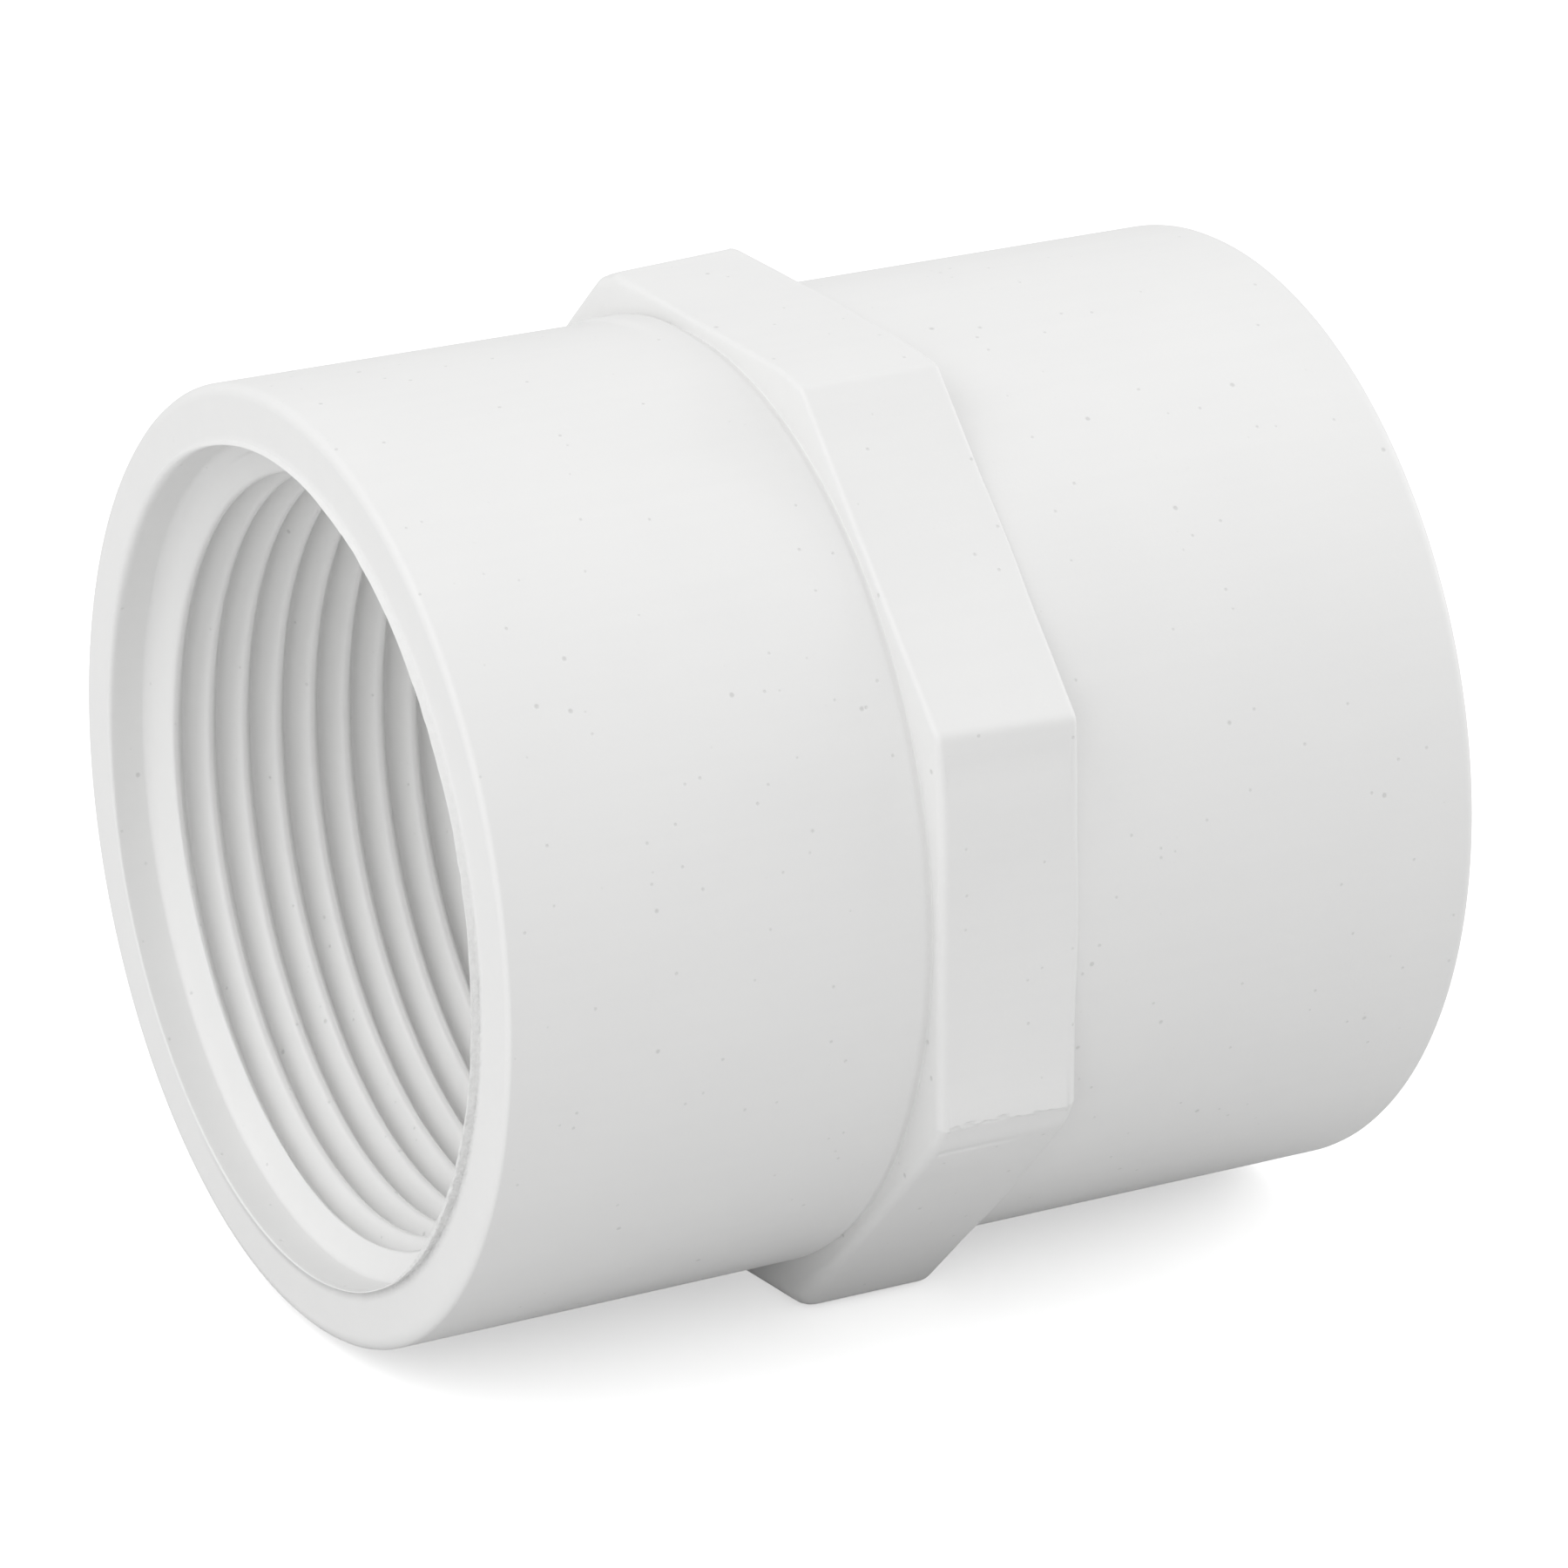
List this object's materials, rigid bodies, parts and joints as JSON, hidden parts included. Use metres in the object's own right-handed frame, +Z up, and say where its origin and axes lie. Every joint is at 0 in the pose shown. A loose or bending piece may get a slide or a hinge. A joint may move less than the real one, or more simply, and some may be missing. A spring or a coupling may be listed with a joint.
{
  "type": "pipe adapter",
  "caption": "Straight one-piece moulded plastic pipe fitting with an internal tapered thread at one end, a plain socket at the other and an octagonal wrench band between them.",
  "frame": {"origin": "on the fitting's axis, halfway along its length, which is also the middle of the wrench band", "axes": "+X along the axis from the threaded end to the pipe socket end, +Z up through the middle of a wrench flat"},
  "size_m": [0.0626, 0.0576, 0.0576],
  "materials": {
    "white_pvc": "satin moulded rigid PVC"
  },
  "bodies": {
    "root": {"fitting_body": "white_pvc"}
  },
  "joints": []
}
